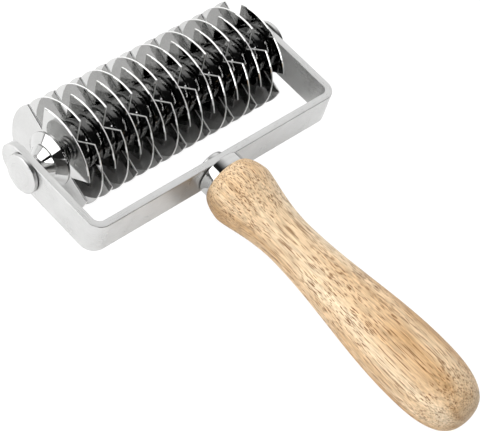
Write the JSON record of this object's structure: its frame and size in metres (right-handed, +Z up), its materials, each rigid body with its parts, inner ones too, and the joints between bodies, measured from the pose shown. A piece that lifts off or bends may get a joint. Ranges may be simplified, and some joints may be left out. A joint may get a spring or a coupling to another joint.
{
  "type": "pastry cutter wheel",
  "caption": "Hand-held lattice cutter for pastry: a roller of notched steel discs turns on an axle between the arms of a folded steel yoke on a turned wooden handle.",
  "frame": {"origin": "on the table under the middle of the tool's box", "axes": "+X along the axle to the tool's right, +Y from the handle to the roller, +Z up from the table"},
  "size_m": [0.136, 0.1998, 0.045],
  "materials": {
    "polished_steel": "mirror polished",
    "satin_steel": "satin",
    "core_steel": "turned",
    "wood": "oiled, pale, open-pored"
  },
  "bodies": {
    "frame": {"yoke": "satin_steel", "axle": "satin_steel", "axle_end_cap": "satin_steel", "left_thrust_washer": "satin_steel", "right_thrust_washer": "satin_steel", "handle_screw": "satin_steel", "ferrule": "polished_steel", "handle": "wood"},
    "roller": {"hub_core": "core_steel", "disc_01": "polished_steel", "disc_02": "polished_steel", "disc_03": "polished_steel", "disc_04": "polished_steel", "disc_05": "polished_steel", "disc_06": "polished_steel", "disc_07": "polished_steel", "disc_08": "polished_steel", "disc_09": "polished_steel", "disc_10": "polished_steel", "disc_11": "polished_steel", "disc_12": "polished_steel", "disc_13": "polished_steel", "disc_14": "polished_steel", "disc_15": "polished_steel", "disc_16": "polished_steel", "disc_17": "polished_steel", "spacer_01": "core_steel", "spacer_02": "core_steel", "spacer_03": "core_steel", "spacer_04": "core_steel", "spacer_05": "core_steel", "spacer_06": "core_steel", "spacer_07": "core_steel", "spacer_08": "core_steel", "spacer_09": "core_steel", "spacer_10": "core_steel", "spacer_11": "core_steel", "spacer_12": "core_steel", "spacer_13": "core_steel", "spacer_14": "core_steel", "spacer_15": "core_steel", "spacer_16": "core_steel", "left_end_cone": "polished_steel", "right_end_cone": "polished_steel"}
  },
  "joints": [
    {"name": "roller_spin", "type": "hinge", "parent": "frame", "child": "roller", "pos_m": [0, 0.07744, 0.0225], "axis": [1, 0, 0], "continuous": true}
  ]
}
